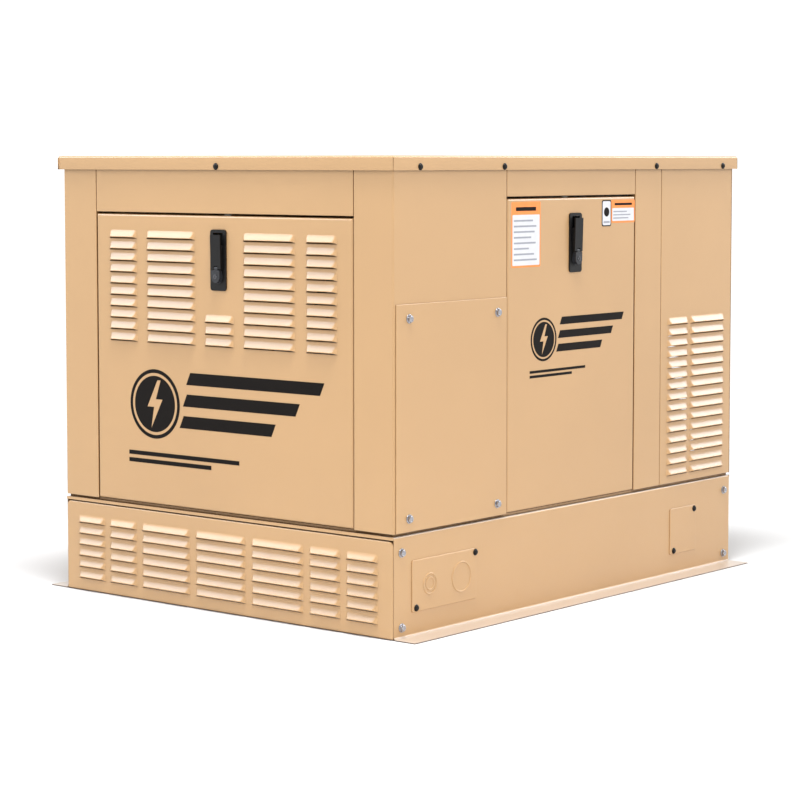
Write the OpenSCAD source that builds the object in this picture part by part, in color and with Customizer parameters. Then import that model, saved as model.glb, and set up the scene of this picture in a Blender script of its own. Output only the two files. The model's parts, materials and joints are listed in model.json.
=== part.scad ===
// Home standby generator in a sheet-metal housing.
// +Z up. Origin on the floor at the centre of the footprint.
// -Y end: louvred lift-off door. +X side: service door, bolted cover, outlet louvres.

/* [Housing] */
// Width between the outer faces of the side walls
body_w = 934; // [900:1:960]
// Length between the outer faces of the end walls
body_l = 1236; // [1230:1:1260]
// Height from floor to roof
body_h = 950; // [950:1:970]
// Height of the base box
base_h = 204; // [200:1:206]
// Width of the anchor flange on each side
flange_w = 53; // [45:1:60]
// Sheet thickness
sheet = 2; // [1.5:0.1:2]
// Roof overhang past the walls
roof_over = 8; // [6:1:8]
// Depth of the roof's folded edge
fascia = 29; // [27:1:31]

/* [Louvres] */
// Length of a short louvre
louvre_short = 84; // [80:1:86]
// Length of a long louvre
louvre_long = 144; // [140:1:146]
// Vertical pitch of the louvres
louvre_pitch = 24.4; // [24:0.1:24.6]
// How far a louvre stands out
louvre_deep = 8.5; // [7:0.5:9]

/* [Doors] */
// How far each door tilts out about its lower edge
door_tilt = 35; // [20:1:45]
// Depth of the doors' folded edges
door_deep = 22; // [18:1:24]

/* [Anchor holes] */
// Radius of the four anchor holes
anchor_r = 6; // [5:0.5:7]
// Distance between the anchor holes along the length
anchor_l = 960; // [900:10:1000]

/* [Hidden] */

hw = body_w/2;
hl = body_l/2;
top_z = body_h - fascia;      // underside of the roof's folded edge
low_z = base_h + 6;           // lower edge of the upper walls, which stand on the deck's rim
wall_top = body_h - sheet;    // the walls carry the roof's sheet
deck_z = base_h + 3;          // top of the deck plate
t = sheet;
tan_paint = [0.89, 0.74, 0.54];
black_plastic = [0.10, 0.10, 0.11];
zinc = [0.75, 0.76, 0.78];
foam_grey = [0.18, 0.18, 0.19];
cast_grey = [0.55, 0.56, 0.58];
// front door
fd_w = 364; fd_top = 827; fd_bot = 211;
// side door, as y limits on the right wall
sd_y0 = -250; sd_y1 = 216; sd_top = 862; sd_bot = 211;
latch_h = 126; latch_w = 44;
fl_z = 672; fl_u = 0;         // lower edge and centre of the front latch
sl_z = 703; sl_u = -12;       // the same for the side latch
hub_v = 28; lift_v = 46.6; lift_w = 7;
// shaft line of the engine and alternator
sx = -30; sz = 419; gy = -45;

// each face has its own frame: x to the right as seen from outside, y up, z outward, z = 0 at the outer face
module on_front() { translate([0,-hl,0]) rotate([90,0,0]) children(); }
module on_right() { translate([hw,0,0]) rotate([90,0,90]) children(); }
module on_rear() { translate([0,hl,0]) rotate([90,0,180]) children(); }
module on_left() { translate([-hw,0,0]) rotate([90,0,270]) children(); }

function arc(cx,cy,r,a0,a1,n=8) = [for (i=[0:n]) let(a=a0+(a1-a0)*i/n) [cx+r*cos(a), cy+r*sin(a)]];

module rrect(w,h,r) {
  polygon(concat(arc(w/2-r,h/2-r,r,0,90), arc(-w/2+r,h/2-r,r,90,180), arc(-w/2+r,-h/2+r,r,180,270), arc(w/2-r,-h/2+r,r,270,360)));
}

// ---------- louvres ----------
module louvre_out(l) {
  rotate([90,0,90]) linear_extrude(l)
    polygon([[0,-t],[19,-t],[19,0],[6,louvre_deep],[0,louvre_deep]]);
}
module louvre_in(l) {
  k = 1.5;
  translate([k,0,0]) rotate([90,0,90]) linear_extrude(l-2*k)
    polygon([[-1,-t-1],[-1,0.4],[1.2,0.4],[1.2,-0.01],[-1,0.4],[-1,louvre_deep-k],[5.2,louvre_deep-k],[16,-0.2],[16,-t-1]]);
}
module louvre_cut(l) {
  k = 1.5;
  translate([k,0,0]) rotate([90,0,90]) linear_extrude(l-2*k)
    polygon([[3,-t-1],[3,0.3],[-1,0.3],[-1,louvre_deep-k],[5.2,louvre_deep-k],[16,-0.2],[16,-t-1]]);
}
// cols = [[x, length, first row, last row], ...]; rows count down from y0
module louvre_field(cols, y0) {
  difference() {
    union() {
      children();
      for (c = cols) for (r = [c[2]:c[3]]) translate([c[0], y0 - r*louvre_pitch, 0]) louvre_out(c[1]);
    }
    for (c = cols) for (r = [c[2]:c[3]]) translate([c[0], y0 - r*louvre_pitch, 0]) louvre_cut(c[1]);
  }
}

// ---------- fasteners, axis +Z, seat at z = 0 ----------
module hex_bolt(l=9) {
  cylinder(r=9, h=1.6, $fn=48);
  translate([0,0,1.55]) cylinder(r=7.3, h=5, $fn=6);
  translate([0,0,-l]) cylinder(r=3, h=l+0.5, $fn=32);
}
module pan_screw(l=8) {
  cylinder(r=7, h=1.2, $fn=40);
  translate([0,0,1.15]) cylinder(r1=5.6, r2=3.4, h=3, $fn=40);
  translate([0,0,-l]) cylinder(r=2.5, h=l+0.5, $fn=24);
}

// ---------- base ----------
rail_holes = [[-592,171],[-592,22],[592,171],[592,22]];
plate_screws = [[-359,144],[-549,56],[462,142],[378,54]];
module rail_profile() {
  polygon(concat([[flange_w,0],[flange_w,2]], arc(3,5,3,270,180), arc(-4,base_h-4,4,0,90),
    [[-30,base_h],[-30,base_h-2]], arc(-4,base_h-4,2,90,0), arc(3,5,5,180,270)));
}
module base_rail(right=true) {
  color(tan_paint)
  difference() {
    translate([hw,hl-t,0]) rotate([90,0,0]) linear_extrude(body_l-2*t) rail_profile();
    for (h = rail_holes) translate([hw-5,h[0],h[1]]) rotate([0,90,0]) cylinder(r=3.3, h=10, $fn=32);
    for (s = [-1,1]) translate([hw+26,s*anchor_l/2,-1]) cylinder(r=anchor_r, h=5, $fn=48);
    if (right) {
      translate([hw-5,-542,66]) cube([10,168,66]);
      translate([hw-5,385,66]) cube([10,62,66]);
      for (p = plate_screws) translate([hw-5,p[0],p[1]]) rotate([0,90,0]) cylinder(r=2.8, h=10, $fn=24);
    }
  }
}
module base_rail_right() { base_rail(true); }
module base_rail_left() { mirror([1,0,0]) base_rail(false); }

base_cols = [for (c=[[-429,louvre_short],[-331,louvre_short],[-232,louvre_long],[-72,louvre_long],[88,louvre_long],[247,louvre_short],[345,louvre_short]]) [c[0],c[1],0,5]];
end_top = base_h-8;           // top of each end panel, below the deck's lip
module base_end_panel() {
  color(tan_paint) difference() {
    louvre_field(base_cols, 149) union() {
      translate([0,0.5,-t]) linear_extrude(t) polygon(concat([[-hw+1,0],[hw-1,0]], arc(hw-11,end_top-11,10,0,90), arc(-hw+11,end_top-11,10,90,180)));
      translate([-hw+31,end_top-0.5-t,-24]) cube([body_w-62,t,23]);
      for (s=[-1,1]) translate([s>0?hw-2*t:-hw+t,8,-42]) cube([t,end_top-20,41]);
    }
    for (z=[171,22]) translate([-hw-5,z,-26]) rotate([0,90,0]) cylinder(r=3.3,h=body_w+10,$fn=32);
  }
}
module base_front_panel() { on_front() base_end_panel(); }
module base_rear_panel() { on_rear() base_end_panel(); }

module base_cross_members() {
  color(tan_paint) for (y=[-330,40,360]) difference() {
    union() {
      translate([-hw+t,y-25,130]) cube([body_w-2*t,50,base_h-t-136]);
      translate([-hw+8,y-25,180]) cube([body_w-16,50,base_h-t-180]);
      translate([-hw+32,y-25,base_h-t-1]) cube([body_w-64,50,t+1]);
    }
    translate([-hw-1,y-22,129]) cube([body_w+2,44,base_h-t-131]);
  }
}
module base_deck() {
  color(tan_paint) difference() {
    union() {
      translate([-hw+6,-hl+6,base_h]) cube([body_w-12,body_l-12,3]);
      for (s=[-1,1]) {           // lip over each end panel
        translate([-hw+0.5,s>0?hl-t:-hl,base_h-6]) cube([body_w-1,t,6]);
        translate([-hw+32,s>0?hl-30:-hl+0.5,base_h-t]) cube([body_w-64,29.5,t+0.5]);
      }
      difference() {
        translate([-hw+6,-hl+6,base_h]) cube([body_w-12,body_l-12,6]);
        translate([-hw+37,-hl+37,base_h-1]) cube([body_w-74,body_l-74,8]);
      }
    }
    for (i=[0:7]) for (y=[-500,500]) translate([-170+i*62,y,base_h-1]) linear_extrude(5) rrect(16,110,7.9);
    translate([315,430,base_h-1]) cylinder(r=20,h=5,$fn=48);
  }
}
module conduit_plate() {
  color(tan_paint) on_right() translate([-562,48,0]) difference() {
    linear_extrude(2) translate([103.5,52]) rrect(207,104,2);
    translate([203,96,-1]) cylinder(r=2.8,h=6,$fn=24);
    translate([13,8,-1]) cylinder(r=2.8,h=6,$fn=24);
    // knockout grooves
    translate([56,51.5,1.1]) difference() { cylinder(r=22,h=3,$fn=64); translate([0,0,-1]) cylinder(r=20,h=6,$fn=64); }
    translate([56,51.5,1.1]) difference() { cylinder(r=15,h=3,$fn=64); translate([0,0,-1]) cylinder(r=13.4,h=6,$fn=64); }
    translate([158,51.5,1.1]) difference() { cylinder(r=31.5,h=3,$fn=64); translate([0,0,-1]) cylinder(r=29.3,h=6,$fn=64); }
  }
}
module fuel_plate() {
  color(tan_paint) on_right() translate([363,46,0]) difference() {
    linear_extrude(2) translate([53.5,52.5]) rrect(107,105,2);
    translate([99,96,-1]) cylinder(r=2.8,h=6,$fn=24);
    translate([15,8,-1]) cylinder(r=2.8,h=6,$fn=24);
  }
}

// ---------- upper walls ----------
roof_holes_side = [-544,-271,288,563];
cover_bolts = [[-571,631],[-285,630],[-571,236],[-285,235]];
module roof_hole(p) { translate([p,top_z+7,-8]) cylinder(r=2.8,h=22,$fn=24); }
module front_corner_right() {
  color(tan_paint) difference() {
    translate([0,0,low_z]) linear_extrude(wall_top-low_z) union() {
      polygon(concat([[fd_w+2,-hl]], arc(hw-4,-hl+4,4,-90,0), [[hw,-253],[hw-t,-253]], arc(hw-4,-hl+4,2,0,-90), [[fd_w+2,-hl+t]]));
      translate([fd_w+2,-hl+1]) square([t,24]);
      translate([hw-24,-253-t]) square([23,t]);
    }
    on_right() translate([-552,258,-5]) cube([246,352,10]);
    on_right() for (p=cover_bolts) translate([p[0],p[1],-8]) cylinder(r=3.3,h=12,$fn=32);
    on_right() { roof_hole(-544); roof_hole(-271); }
  }
}
module front_corner_left() {
  color(tan_paint) difference() {
    mirror([1,0,0]) translate([0,0,low_z]) linear_extrude(wall_top-low_z) union() {
      polygon(concat([[fd_w+2,-hl]], arc(hw-4,-hl+4,4,-90,0), [[hw,-518],[hw-t,-518]], arc(hw-4,-hl+4,2,0,-90), [[fd_w+2,-hl+t]]));
      translate([fd_w+2,-hl+1]) square([t,24]);
      translate([hw-24,-518-t]) square([23,t]);
    }
    on_left() roof_hole(544);
  }
}
module wall(x0,x1,z0,z1,ret=22,lip=true) {   // flat wall in a face frame, folded in on its upright edges
  translate([x0,z0,-t]) cube([x1-x0,z1-z0,t]);
  for (x=[x0,x1-t]) translate([x,z0,-ret]) cube([t,z1-z0,ret-t/2]);
}
module front_header() {
  color(tan_paint) difference() {
    on_front() union() { wall(-fd_w-0.5,fd_w+0.5,831,wall_top); translate([-fd_w-0.5,831,-22]) cube([2*fd_w+1,t,21]); }
    on_front() roof_hole(0);
  }
}
module right_header() {
  color(tan_paint) on_right() union() { wall(sd_y0-1.5,sd_y1+0.5,866,wall_top); translate([sd_y0-1.5,866,-22]) cube([sd_y1-sd_y0+2,t,21]); }
}
module right_post() {
  color(tan_paint) difference() { on_right() wall(218,320.5,low_z,wall_top); on_right() roof_hole(288); }
}
side_cols = [[348,louvre_short,0,14],[441,louvre_long,0,14]];
module right_rear_panel() {
  color(tan_paint) difference() {
    on_right() louvre_field(side_cols, 569) wall(322,hl-2.6,low_z,wall_top,20);
    on_right() roof_hole(563);
  }
}

module left_side_panel() {
  color(tan_paint) difference() {
    on_left() louvre_field([[-432,louvre_short,0,14],[-585,louvre_long,0,14]], 569) wall(-hl+2.6,516.5,low_z,wall_top,22);
    on_left() for (y=[-271,288,563]) roof_hole(-y);
  }
}
rear_cols = [[-400,louvre_long,0,13],[-240,louvre_long,0,13],[-80,louvre_long,0,13]];
module rear_panel() {
  color(tan_paint) difference() {
    on_rear() louvre_field(rear_cols, 569) union() {
      translate([-hw,low_z,-t]) cube([body_w,wall_top-low_z,t]);
      translate([-hw+40,low_z,-24]) cube([body_w-80,t,23]);
    }
    on_rear() translate([250,640,-8]) cylinder(r=30,h=20,$fn=64);
    on_rear() roof_hole(0);
  }
}
module bulkhead() {
  color(cast_grey) difference() {
    union() {
      translate([-hw+6,330,low_z+0.5]) cube([body_w-12,t,wall_top-low_z-0.5]);
      translate([-hw+40,330,deck_z]) cube([body_w-80,t,10]);
      translate([-hw+40,330,deck_z]) cube([body_w-80,22,t]);
    }
    translate([-250,320,640]) rotate([-90,0,0]) cylinder(r=26,h=30,$fn=48);
    translate([-60,320,640]) rotate([-90,0,0]) cylinder(r=26,h=30,$fn=48);
    translate([260,320,700]) rotate([-90,0,0]) cylinder(r=16,h=30,$fn=48);
    translate([-350,320,250]) cube([520,30,170]);     // cooling air passes to the exhaust space
  }
}
module side_cover_plate() {
  color(tan_paint) on_right() difference() {
    translate([-611,low_z,0]) cube([357,450,2.2]);
    for (p=cover_bolts) translate([p[0],p[1],-1]) cylinder(r=3.3,h=6,$fn=32);
  }
}

module roof() {
  w = hw+roof_over; l = hl+roof_over;
  color(tan_paint) difference() {
    translate([-w,-l,top_z]) cube([2*w,2*l,fascia]);
    translate([-w+t,-l+t,top_z-1]) cube([2*w-2*t,2*l-2*t,fascia-t+1]);
    for (a=[-1,1]) for (b=[-1,1]) translate([a*w-1.5,b*l-1.5,top_z-1]) cube([3,3,fascia-3]);
    for (y=roof_holes_side) for (s=[-1,1]) translate([s*w-5,y,top_z+7]) rotate([0,90,0]) cylinder(r=2.8,h=10,$fn=24);
    for (s=[-1,1]) translate([0,s*l-5,top_z+7]) rotate([-90,0,0]) cylinder(r=2.8,h=10,$fn=24);
  }
}
module black_screws() {
  color(black_plastic) {
    on_right() {
      for (p=plate_screws) translate([p[0],p[1],2]) pan_screw(8);
      for (y=roof_holes_side) translate([y,top_z+7,roof_over]) pan_screw(13);
    }
    on_left() for (y=roof_holes_side) translate([-y,top_z+7,roof_over]) pan_screw(13);
    on_front() translate([0,top_z+7,roof_over]) pan_screw(13);
    on_rear() translate([0,top_z+7,roof_over]) pan_screw(13);
  }
}
module hex_bolts() {
  color(zinc) {
    on_right() {
      for (p=rail_holes) translate([p[0],p[1],0]) hex_bolt(8);
      for (p=cover_bolts) translate([p[0],p[1],2.2]) hex_bolt(9);
    }
    on_left() for (p=rail_holes) translate([p[0],p[1],0]) hex_bolt(8);
  }
}

// ---------- doors ----------
door_cols = [[-324,louvre_short,0,9],[-212,louvre_long,0,9],[-42,louvre_short,7,9],[68,louvre_long,0,9],[240,louvre_short,0,9]];
module tray(x0,x1,z0,z1,d) {   // folded door tray, face at z = 0, edges turned in
  difference() {
    translate([x0,z0,-d]) cube([x1-x0,z1-z0,d]);
    translate([x0+t,z0+t,-d-1]) cube([x1-x0-2*t,z1-z0-2*t,d+1-t]);
  }
}
module latch_hole() { translate([-16,8,-4]) cube([32,110,8]); }
module front_door_panel() {
  color(tan_paint) on_front() difference() {
    louvre_field(door_cols, 774.5) tray(-fd_w,fd_w,fd_bot,fd_top,door_deep);
    translate([fl_u,fl_z,0]) latch_hole();
  }
}
module side_door_panel() {
  color(tan_paint) on_right() difference() {
    tray(sd_y0,sd_y1,sd_bot,sd_top,door_deep);
    translate([sl_u,sl_z,0]) latch_hole();
  }
}
module front_door_foam() { color(foam_grey) on_front() translate([-352,222,-t-17.5]) cube([704,318,17.5]); }
module side_door_foam() { color(foam_grey) on_right() translate([-240,222,-t-17.5]) cube([446,466,17.5]); }

// ---------- latch, in a face frame, origin at the middle of the housing's lower edge ----------
module latch_housing() {
  color(black_plastic) difference() {
    union() {
      translate([0,latch_h/2,0]) linear_extrude(3) rrect(latch_w,latch_h,6);
      translate([-15.5,8.5,-13]) cube([31,109,13.5]);
    }
    translate([-13.5,52,-11]) cube([27,63.6,20]);     // finger pocket
    translate([-13.5,110,-11]) cube([27,9.5,20]);
    translate([0,hub_v,-11]) cylinder(r=13.4,h=20,$fn=64);    // hub seat
    translate([-6,hub_v,-5]) cube([12,25,20]);        // room for the hub's tongue
    translate([0,hub_v,-20]) cylinder(r=5.05,h=20,$fn=48);
  }
}
module latch_hub() {
  color([0.16,0.16,0.17]) difference() {
    union() {
      translate([0,hub_v,-10.5]) cylinder(r=12.9,h=14,$fn=64);
      translate([0,hub_v,3.4]) cylinder(r=11.5,h=8.2,$fn=64);
      translate([-11.5,hub_v,3.4]) cube([23,14.4,8.2]);
      translate([0,hub_v,-33]) cylinder(r=5,h=24,$fn=48);
      translate([-4.8,hub_v+10,lift_w-3.2]) cube([9.6,lift_v-hub_v-10,6.4]);
      translate([-4.8,lift_v,lift_w]) rotate([0,90,0]) cylinder(r=3.2,h=9.6,$fn=48);
    }
    translate([0,hub_v+1,4]) cylinder(r=5.05,h=20,$fn=48);       // lock plug bore
    translate([-20,lift_v,lift_w]) rotate([0,90,0]) cylinder(r=1.55,h=40,$fn=32);
  }
}
module latch_lever() {
  color(black_plastic) {
    difference() {
      union() {
        translate([-14,0,0]) rotate([90,0,90]) linear_extrude(28)
          polygon([[lift_v,3.5],[94.3,3.5],[94.3,9],[115.5,9],[115.5,12.4],[lift_v,10.5]]);   // the grip end stands clear of the louvre hoods as it swings
        translate([-14,lift_v,lift_w]) rotate([0,90,0]) cylinder(r=3.5,h=28,$fn=48);
      }
      translate([-5.1,lift_v-5,-5]) cube([10.2,9.2,30]);
      translate([-12,58,-2]) cube([24,46,7.5]);       // hollow under the grip
    }
    translate([-13,lift_v,lift_w]) rotate([0,90,0]) cylinder(r=1.5,h=26,$fn=32);   // pivot pin, fixed in the lever
  }
}
module latch_arm(up) {
  color(zinc) difference() {
    union() {
      translate([0,hub_v,-30]) cylinder(r=12,h=4,$fn=48);
      translate([-9,hub_v,-30]) cube([18,up,4]);
    }
    translate([0,hub_v,-40]) cylinder(r=5.05,h=30,$fn=48);
  }
}
module lock_plug() {
  color(zinc) difference() {
    translate([0,hub_v+1,4.1]) cylinder(r=5,h=8.4,$fn=48);
    translate([-0.8,hub_v-2,9]) cube([1.6,6,8]);
  }
}
module front_latch_housing() { on_front() translate([fl_u,fl_z,0]) latch_housing(); }
module front_latch_hub() { on_front() translate([fl_u,fl_z,0]) latch_hub(); }
module front_latch_arm() { on_front() translate([fl_u,fl_z,0]) latch_arm(829-fl_z-hub_v); }
module front_latch_lever() { on_front() translate([fl_u,fl_z,0]) latch_lever(); }
module front_lock_plug() { on_front() translate([fl_u,fl_z,0]) lock_plug(); }
module side_latch_housing() { on_right() translate([sl_u,sl_z,0]) latch_housing(); }
module side_latch_hub() { on_right() translate([sl_u,sl_z,0]) latch_hub(); }
module side_latch_arm() { on_right() translate([sl_u,sl_z,0]) latch_arm(864-sl_z-hub_v); }
module side_latch_lever() { on_right() translate([sl_u,sl_z,0]) latch_lever(); }
module side_lock_plug() { on_right() translate([sl_u,sl_z,0]) lock_plug(); }

// ---------- generator set, shaft along Y at x = sx, z = sz ----------
module along_y(y) { translate([sx,y,sz]) rotate([-90,0,0]) children(); }   // local z = +Y, local y = -Z
module genset() { translate([0,gy,0]) children(); }
module skid_rails() {
  color([0.25,0.26,0.27]) genset() for (s=[-1,1]) translate([sx+s*150-20,-330,deck_z+35]) cube([40,560,24]);
}
module vibration_mounts() {
  color([0.12,0.12,0.12]) genset() for (s=[-1,1]) for (y=[-270,170]) translate([sx+s*150,y,deck_z]) {
    cylinder(r=30,h=4,$fn=48);
    translate([0,0,3.9]) rotate_extrude($fn=48) polygon([[0,0],[22,0],[17,15],[22,31.1],[0,31.1]]);
  }
}
module alternator_housing() {
  color(cast_grey) genset() difference() {
    union() {
      along_y(-300) cylinder(r=118,h=220,$fn=96);
      for (a=[7.5:15:352.5]) along_y(-290) rotate([0,0,a]) translate([110,-3,0]) cube([15,6,200]);
      along_y(-81) cylinder(r=126,h=19,$fn=96);
      for (s=[-1,1]) translate([sx+s*125-25,-260,deck_z+59]) cube([50,140,60]);
    }
    along_y(-310) cylinder(r=104,h=260,$fn=96);
  }
}
module alternator_end_bell() {
  color([0.62,0.63,0.65]) genset() difference() {
    along_y(-352) union() { cylinder(r=96,h=31,$fn=96); translate([0,0,30]) cylinder(r=120,h=22,$fn=96); }
    along_y(-344) cylinder(r=80,h=60,$fn=96);
    along_y(-360) cylinder(r=19.05,h=40,$fn=64);
    for (a=[0:45:315]) along_y(-360) rotate([0,0,a]) translate([52,0,0]) cylinder(r=13,h=40,$fn=32);
  }
}
module rotor_shaft() {
  color([0.5,0.5,0.52]) genset() {
    along_y(-358) cylinder(r=19,h=616,$fn=64);
    along_y(-290) cylinder(r=98,h=190,$fn=96);
  }
}
module flywheel_fan() {
  color([0.35,0.36,0.38]) genset() along_y(244) difference() {
    union() {
      cylinder(r=118,h=22,$fn=96);
      for (a=[0:30:330]) rotate([0,0,a]) translate([60,-2,21]) cube([52,4,28]);
      cylinder(r=34,h=40,$fn=64);
    }
    translate([0,0,-1]) cylinder(r=19.05,h=15.2,$fn=64);
  }
}
dip_x = sx+125; dip_y = 200;
module engine_crankcase() {
  color([0.33,0.34,0.36]) genset() difference() {
    union() {
      translate([sx-140,-58,deck_z+62]) cube([280,286,150]);
      along_y(-58) cylinder(r=126,h=286,$fn=96);
      along_y(-62) cylinder(r=100,h=6,$fn=96);
      for (s=[-1,1]) translate([sx+s*145-25,-20,deck_z+59]) cube([50,200,40]);
      translate([dip_x,dip_y,400]) cylinder(r=14,h=90,$fn=48);
    }
    along_y(-90) cylinder(r=19.05,h=400,$fn=64);
    translate([dip_x,dip_y,345]) cylinder(r=9,h=160,$fn=48);
  }
}
module finned_cylinder() {
  translate([0,0,112]) cylinder(r=48,h=150,$fn=64);
  for (i=[0:9]) translate([0,0,131+i*12]) cylinder(r=66,h=5,$fn=64);
  translate([-56,-56,255]) cube([112,112,34]);
}
module v_pair() {   // the left and the right cylinder axis
  translate([sx,75,sz]) rotate([0,-45,0]) children();
  translate([sx,100,sz]) rotate([0,45,0]) children();
}
module engine_cylinders() {
  color([0.42,0.43,0.45]) genset() difference() {
    v_pair() finned_cylinder();
    along_y(-100) cylinder(r=126,h=400,$fn=96);
    translate([sx-140,-60,240]) cube([280,300,deck_z+212-240]);
  }
}
module valve_covers() {
  color([0.12,0.12,0.13]) genset() v_pair() {
    translate([0,0,289]) linear_extrude(6) rrect(108,100,10);
    translate([0,0,294.9]) linear_extrude(24) rrect(96,88,16);
  }
}
module blower_housing() {
  color([0.13,0.13,0.14]) genset() difference() {
    union() {
      along_y(228) cylinder(r=150,h=86,$fn=96);
      translate([sx-170,228,sz+20]) cube([340,40,110]);
    }
    along_y(232) cylinder(r=126,h=76,$fn=96);
    along_y(220) cylinder(r=22,h=30,$fn=64);
    // ring slots of the air intake guard
    for (r=[40:18:104]) along_y(300) difference() { cylinder(r=r+10,h=30,$fn=96); translate([0,0,-1]) cylinder(r=r,h=40,$fn=96);
      for (a=[0:45:135]) rotate([0,0,a]) translate([-160,-5,-1]) cube([320,10,40]); }
  }
}
mix_y = 88; mix_z = 574;     // mixer above the valley of the V
module intake_mixer() {
  color([0.60,0.61,0.63]) genset() difference() {
    union() {
      translate([sx-36,mix_y-32,mix_z+52]) cube([72,64,72]);
      translate([sx-175,mix_y,mix_z+85]) rotate([0,90,0]) cylinder(r=15,h=350,$fn=48);
      translate([sx,mix_y,mix_z+123.9]) cylinder(r=34,h=6,$fn=64);
      translate([sx+35.9,mix_y,mix_z+112]) rotate([0,90,0]) cylinder(r=11,h=14,$fn=48);   // fuel inlet
    }
    v_pair() { translate([-56,-56,255]) cube([112,112,34]); cylinder(r=66,h=256,$fn=64); translate([-60,-60,288]) cube([120,120,50]); }
    translate([sx,mix_y,mix_z+70]) cylinder(r=22,h=70,$fn=64);                // throat
    translate([sx,mix_y-60,mix_z+100]) rotate([-90,0,0]) cylinder(r=4.05,h=120,$fn=32);    // throttle shaft bore
  }
}
module throttle_lever() {
  color(zinc) genset() {
    translate([sx,mix_y-46,mix_z+100]) rotate([-90,0,0]) cylinder(r=4,h=86,$fn=32);
    translate([sx,mix_y-42,mix_z+100]) rotate([-90,0,0]) cylinder(r=9,h=5,$fn=32);
    difference() {
      translate([sx-5,mix_y-42,mix_z+100]) cube([10,4,38]);
      translate([sx,mix_y-50,mix_z+131]) rotate([-90,0,0]) cylinder(r=2,h=20,$fn=24);
    }
    translate([sx,mix_y,mix_z+100]) rotate([0,0,0]) cylinder(r=20,h=1.6,center=true,$fn=64);  // butterfly
  }
}
module air_cleaner() {
  color([0.14,0.14,0.15]) genset() difference() {
    union() {
      translate([sx,mix_y,mix_z+150]) cylinder(r=92,h=58,$fn=96);
      translate([sx,mix_y,mix_z+207.9]) cylinder(r=80,h=14,$fn=96);
      translate([sx,mix_y,mix_z+129.9]) cylinder(r=32,h=21,$fn=64);
      translate([sx,mix_y,mix_z+221]) cylinder(r=14,h=12,$fn=6);
    }
    translate([sx,mix_y,mix_z+120]) cylinder(r=22,h=60,$fn=64);
  }
}
module muffler() {
  color([0.5,0.47,0.44]) difference() {
    union() {
      translate([-330,470,640]) rotate([0,90,0]) cylinder(r=70,h=330,$fn=96);
      for (x=[-338,0]) translate([x,470,640]) rotate([0,90,0]) cylinder(r=74,h=9,$fn=96);
      for (x=[-300,-40]) translate([x,332,600]) cube([30,140,14]);      // brackets to the bulkhead
      for (x=[-300,-40]) translate([x,332,580]) cube([30,4,60]);
    }
    for (x=[-250,-60]) translate([x,380,640]) rotate([-90,0,0]) cylinder(r=18,h=30,$fn=48);
    translate([-250,530,640]) rotate([-90,0,0]) cylinder(r=25,h=30,$fn=48);
  }
}

// one hose or pipe: a round tube swept along its points
function lerp(a,b,k) = a+(b-a)*k;
function cr(p,i,k) = let(n=len(p), a=p[max(i-1,0)], b=p[i], c=p[min(i+1,n-1)], d=p[min(i+2,n-1)])
  0.5*((2*b)+(c-a)*k+(2*a-5*b+4*c-d)*k*k+(3*b-a-3*c+d)*k*k*k);
function smooth(p,m) = concat([for (i=[0:len(p)-2]) for (j=[0:m-1]) cr(p,i,j/m)], [p[len(p)-1]]);
function unit(v) = v/norm(v);
function tangent(q,i,p) = let(n=len(q), m=len(p)) i==0 ? unit(p[1]-p[0]) : i==n-1 ? unit(p[m-1]-p[m-2]) : unit(q[i+1]-q[i-1]);
module sweep_tube(pts, r, m=5, sides=12) {
  q = smooth(pts,m);
  n = len(q);
  ref = [0.31,0.52,0.79];
  v = [for (i=[0:n-1]) let(tg=tangent(q,i,pts), u=unit(cross(tg,ref)), w=cross(tg,u))
       for (k=[0:sides-1]) q[i]+r*(cos(360*k/sides)*u+sin(360*k/sides)*w)];
  f = concat([for (i=[0:n-2]) for (k=[0:sides-1]) let(k2=(k+1)%sides) [i*sides+k, (i+1)*sides+k, (i+1)*sides+k2]],
             [for (i=[0:n-2]) for (k=[0:sides-1]) let(k2=(k+1)%sides) [i*sides+k, (i+1)*sides+k2, i*sides+k2]],
             [[for (k=[0:sides-1]) k]], [[for (k=[sides-1:-1:0]) (n-1)*sides+k]]);
  polyhedron(v,f);
}
head_out = 255+17;           // distance of each head's exhaust port along its cylinder
module exhaust_pipes() {
  pxl = sx-0.70711*(head_out+56+24); pz = sz+0.70711*(head_out-56-24);
  pxr = sx+0.70711*(head_out+56+24);
  color([0.45,0.40,0.36]) {
    translate([0,gy,0]) {
      translate([sx,75,sz]) rotate([0,-45,0]) translate([-56,0,head_out]) rotate([0,-90,0]) cylinder(r=22,h=24,$fn=48);
      translate([sx,100,sz]) rotate([0,45,0]) translate([56,0,head_out]) rotate([0,90,0]) cylinder(r=22,h=24,$fn=48);
    }
    sweep_tube([[pxl+3,75+gy,pz+3],[pxl-14,75+gy,pz-14],[pxl-20,110,pz-4],[-280,230,600],[-254,300,636],[-250,340,640],[-250,409,640]], 16, 4, 12);
    sweep_tube([[pxr-3,100+gy,pz+3],[pxr+12,100+gy,pz-12],[pxr+22,150,pz+10],[200,240,630],[60,292,650],[-40,306,642],[-60,345,640],[-60,409,640]], 16, 4, 12);
  }
}
module exhaust_outlet() {
  color([0.55,0.52,0.49]) difference() {
    translate([-250,541,640]) rotate([-90,0,0]) cylinder(r=28,h=hl+12.5-541,$fn=64);
    translate([-250,540,640]) rotate([-90,0,0]) cylinder(r=25,h=200,$fn=64);
    translate([-350,470,640]) rotate([0,90,0]) cylinder(r=70,h=200,$fn=96);
  }
}
module oil_filter() {
  color([0.85,0.85,0.83]) genset() translate([sx+140,20,344]) rotate([0,90,0]) { cylinder(r=36,h=13,$fn=64); translate([0,0,12.9]) cylinder(r=38,h=74,$fn=12); }
}
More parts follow.
